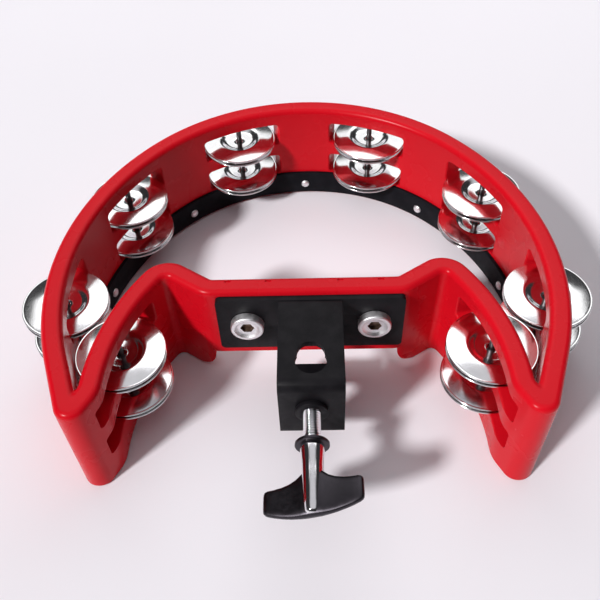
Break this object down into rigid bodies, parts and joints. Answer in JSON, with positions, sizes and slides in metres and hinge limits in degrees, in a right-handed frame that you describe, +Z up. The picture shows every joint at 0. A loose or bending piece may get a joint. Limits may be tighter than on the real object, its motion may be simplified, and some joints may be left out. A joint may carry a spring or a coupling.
{
  "type": "crescent tambourine",
  "caption": "Crescent tambourine with double rows of paired jingles on pins, and a strap bracket whose wing bolt clamps it to an upright stand rod.",
  "frame": {"origin": "middle of the whole object, on the face it lies on", "axes": "+X to the right toe, +Y to the back of the arc, +Z up from the face it lies on"},
  "size_m": [0.2876, 0.2664, 0.0641],
  "materials": {
    "red_plastic": "glossy moulded red plastic",
    "black_band": "matt black rubber strip",
    "rivet_steel": "bright rivet heads",
    "pin_steel": "drawn steel",
    "jingle_steel": "polished nickel plate",
    "black_steel": "satin black powder coat",
    "bolt_steel": "bright zinc plate",
    "wing_chrome": "polished chrome plate"
  },
  "bodies": {
    "frame": {"frame": "red_plastic", "inner_band": "black_band", "band_rivets": "rivet_steel", "jingle_pins": "pin_steel", "bracket": "black_steel", "bracket_bolts": "bolt_steel", "bracket_nuts": "pin_steel", "clamp_nut": "black_steel"},
    "jingle_1_lower_bottom": {"jingle_1_lower_bottom": "jingle_steel"},
    "jingle_1_lower_top": {"jingle_1_lower_top": "jingle_steel"},
    "jingle_1_upper_bottom": {"jingle_1_upper_bottom": "jingle_steel"},
    "jingle_1_upper_top": {"jingle_1_upper_top": "jingle_steel"},
    "jingle_2_lower_bottom": {"jingle_2_lower_bottom": "jingle_steel"},
    "jingle_2_lower_top": {"jingle_2_lower_top": "jingle_steel"},
    "jingle_2_upper_bottom": {"jingle_2_upper_bottom": "jingle_steel"},
    "jingle_2_upper_top": {"jingle_2_upper_top": "jingle_steel"},
    "jingle_3_lower_bottom": {"jingle_3_lower_bottom": "jingle_steel"},
    "jingle_3_lower_top": {"jingle_3_lower_top": "jingle_steel"},
    "jingle_3_upper_bottom": {"jingle_3_upper_bottom": "jingle_steel"},
    "jingle_3_upper_top": {"jingle_3_upper_top": "jingle_steel"},
    "jingle_4_lower_bottom": {"jingle_4_lower_bottom": "jingle_steel"},
    "jingle_4_lower_top": {"jingle_4_lower_top": "jingle_steel"},
    "jingle_4_upper_bottom": {"jingle_4_upper_bottom": "jingle_steel"},
    "jingle_4_upper_top": {"jingle_4_upper_top": "jingle_steel"},
    "jingle_5_lower_bottom": {"jingle_5_lower_bottom": "jingle_steel"},
    "jingle_5_lower_top": {"jingle_5_lower_top": "jingle_steel"},
    "jingle_5_upper_bottom": {"jingle_5_upper_bottom": "jingle_steel"},
    "jingle_5_upper_top": {"jingle_5_upper_top": "jingle_steel"},
    "jingle_6_lower_bottom": {"jingle_6_lower_bottom": "jingle_steel"},
    "jingle_6_lower_top": {"jingle_6_lower_top": "jingle_steel"},
    "jingle_6_upper_bottom": {"jingle_6_upper_bottom": "jingle_steel"},
    "jingle_6_upper_top": {"jingle_6_upper_top": "jingle_steel"},
    "jingle_7_lower_bottom": {"jingle_7_lower_bottom": "jingle_steel"},
    "jingle_7_lower_top": {"jingle_7_lower_top": "jingle_steel"},
    "jingle_7_upper_bottom": {"jingle_7_upper_bottom": "jingle_steel"},
    "jingle_7_upper_top": {"jingle_7_upper_top": "jingle_steel"},
    "jingle_8_lower_bottom": {"jingle_8_lower_bottom": "jingle_steel"},
    "jingle_8_lower_top": {"jingle_8_lower_top": "jingle_steel"},
    "jingle_8_upper_bottom": {"jingle_8_upper_bottom": "jingle_steel"},
    "jingle_8_upper_top": {"jingle_8_upper_top": "jingle_steel"},
    "stop_washer": {"stop_washer": "wing_chrome"},
    "wing_bolt": {"wing_bolt": "wing_chrome"}
  },
  "joints": [
    {"name": "jingle_1_lower_bottom_slide", "type": "slide", "parent": "frame", "child": "jingle_1_lower_bottom", "axis": [0, 0, 1], "range_m": [0, 0.0038]},
    {"name": "jingle_1_lower_top_slide", "type": "slide", "parent": "jingle_1_lower_bottom", "child": "jingle_1_lower_top", "axis": [0, 0, 1], "range_m": [0, 0.0038]},
    {"name": "jingle_1_upper_bottom_slide", "type": "slide", "parent": "frame", "child": "jingle_1_upper_bottom", "axis": [0, 0, 1], "range_m": [0, 0.0038]},
    {"name": "jingle_1_upper_top_slide", "type": "slide", "parent": "jingle_1_upper_bottom", "child": "jingle_1_upper_top", "axis": [0, 0, 1], "range_m": [0, 0.0038]},
    {"name": "jingle_2_lower_bottom_slide", "type": "slide", "parent": "frame", "child": "jingle_2_lower_bottom", "axis": [0, 0, 1], "range_m": [0, 0.0038]},
    {"name": "jingle_2_lower_top_slide", "type": "slide", "parent": "jingle_2_lower_bottom", "child": "jingle_2_lower_top", "axis": [0, 0, 1], "range_m": [0, 0.0038]},
    {"name": "jingle_2_upper_bottom_slide", "type": "slide", "parent": "frame", "child": "jingle_2_upper_bottom", "axis": [0, 0, 1], "range_m": [0, 0.0038]},
    {"name": "jingle_2_upper_top_slide", "type": "slide", "parent": "jingle_2_upper_bottom", "child": "jingle_2_upper_top", "axis": [0, 0, 1], "range_m": [0, 0.0038]},
    {"name": "jingle_3_lower_bottom_slide", "type": "slide", "parent": "frame", "child": "jingle_3_lower_bottom", "axis": [0, 0, 1], "range_m": [0, 0.0038]},
    {"name": "jingle_3_lower_top_slide", "type": "slide", "parent": "jingle_3_lower_bottom", "child": "jingle_3_lower_top", "axis": [0, 0, 1], "range_m": [0, 0.0038]},
    {"name": "jingle_3_upper_bottom_slide", "type": "slide", "parent": "frame", "child": "jingle_3_upper_bottom", "axis": [0, 0, 1], "range_m": [0, 0.0038]},
    {"name": "jingle_3_upper_top_slide", "type": "slide", "parent": "jingle_3_upper_bottom", "child": "jingle_3_upper_top", "axis": [0, 0, 1], "range_m": [0, 0.0038]},
    {"name": "jingle_4_lower_bottom_slide", "type": "slide", "parent": "frame", "child": "jingle_4_lower_bottom", "axis": [0, 0, 1], "range_m": [0, 0.0038]},
    {"name": "jingle_4_lower_top_slide", "type": "slide", "parent": "jingle_4_lower_bottom", "child": "jingle_4_lower_top", "axis": [0, 0, 1], "range_m": [0, 0.0038]},
    {"name": "jingle_4_upper_bottom_slide", "type": "slide", "parent": "frame", "child": "jingle_4_upper_bottom", "axis": [0, 0, 1], "range_m": [0, 0.0038]},
    {"name": "jingle_4_upper_top_slide", "type": "slide", "parent": "jingle_4_upper_bottom", "child": "jingle_4_upper_top", "axis": [0, 0, 1], "range_m": [0, 0.0038]},
    {"name": "jingle_5_lower_bottom_slide", "type": "slide", "parent": "frame", "child": "jingle_5_lower_bottom", "axis": [0, 0, 1], "range_m": [0, 0.0038]},
    {"name": "jingle_5_lower_top_slide", "type": "slide", "parent": "jingle_5_lower_bottom", "child": "jingle_5_lower_top", "axis": [0, 0, 1], "range_m": [0, 0.0038]},
    {"name": "jingle_5_upper_bottom_slide", "type": "slide", "parent": "frame", "child": "jingle_5_upper_bottom", "axis": [0, 0, 1], "range_m": [0, 0.0038]},
    {"name": "jingle_5_upper_top_slide", "type": "slide", "parent": "jingle_5_upper_bottom", "child": "jingle_5_upper_top", "axis": [0, 0, 1], "range_m": [0, 0.0038]},
    {"name": "jingle_6_lower_bottom_slide", "type": "slide", "parent": "frame", "child": "jingle_6_lower_bottom", "axis": [0, 0, 1], "range_m": [0, 0.0038]},
    {"name": "jingle_6_lower_top_slide", "type": "slide", "parent": "jingle_6_lower_bottom", "child": "jingle_6_lower_top", "axis": [0, 0, 1], "range_m": [0, 0.0038]},
    {"name": "jingle_6_upper_bottom_slide", "type": "slide", "parent": "frame", "child": "jingle_6_upper_bottom", "axis": [0, 0, 1], "range_m": [0, 0.0038]},
    {"name": "jingle_6_upper_top_slide", "type": "slide", "parent": "jingle_6_upper_bottom", "child": "jingle_6_upper_top", "axis": [0, 0, 1], "range_m": [0, 0.0038]},
    {"name": "jingle_7_lower_bottom_slide", "type": "slide", "parent": "frame", "child": "jingle_7_lower_bottom", "axis": [0, 0, 1], "range_m": [0, 0.0038]},
    {"name": "jingle_7_lower_top_slide", "type": "slide", "parent": "jingle_7_lower_bottom", "child": "jingle_7_lower_top", "axis": [0, 0, 1], "range_m": [0, 0.0038]},
    {"name": "jingle_7_upper_bottom_slide", "type": "slide", "parent": "frame", "child": "jingle_7_upper_bottom", "axis": [0, 0, 1], "range_m": [0, 0.0038]},
    {"name": "jingle_7_upper_top_slide", "type": "slide", "parent": "jingle_7_upper_bottom", "child": "jingle_7_upper_top", "axis": [0, 0, 1], "range_m": [0, 0.0038]},
    {"name": "jingle_8_lower_bottom_slide", "type": "slide", "parent": "frame", "child": "jingle_8_lower_bottom", "axis": [0, 0, 1], "range_m": [0, 0.0038]},
    {"name": "jingle_8_lower_top_slide", "type": "slide", "parent": "jingle_8_lower_bottom", "child": "jingle_8_lower_top", "axis": [0, 0, 1], "range_m": [0, 0.0038]},
    {"name": "jingle_8_upper_bottom_slide", "type": "slide", "parent": "frame", "child": "jingle_8_upper_bottom", "axis": [0, 0, 1], "range_m": [0, 0.0038]},
    {"name": "jingle_8_upper_top_slide", "type": "slide", "parent": "jingle_8_upper_bottom", "child": "jingle_8_upper_top", "axis": [0, 0, 1], "range_m": [0, 0.0038]},
    {"name": "wing_bolt_travel", "type": "slide", "parent": "frame", "child": "stop_washer", "axis": [0, -1, 0], "range_m": [-0.0144, 0.011]},
    {"name": "wing_bolt_turn", "type": "hinge", "parent": "stop_washer", "child": "wing_bolt", "pos_m": [0.0027, -0.10083, 0.0437], "axis": [0, -1, 0], "range_deg": [-4140, 3150]}
  ],
  "couplings": [
    {"joint": "wing_bolt_travel", "follows": "wing_bolt_turn", "m_per_rad": 0.00019894}
  ]
}
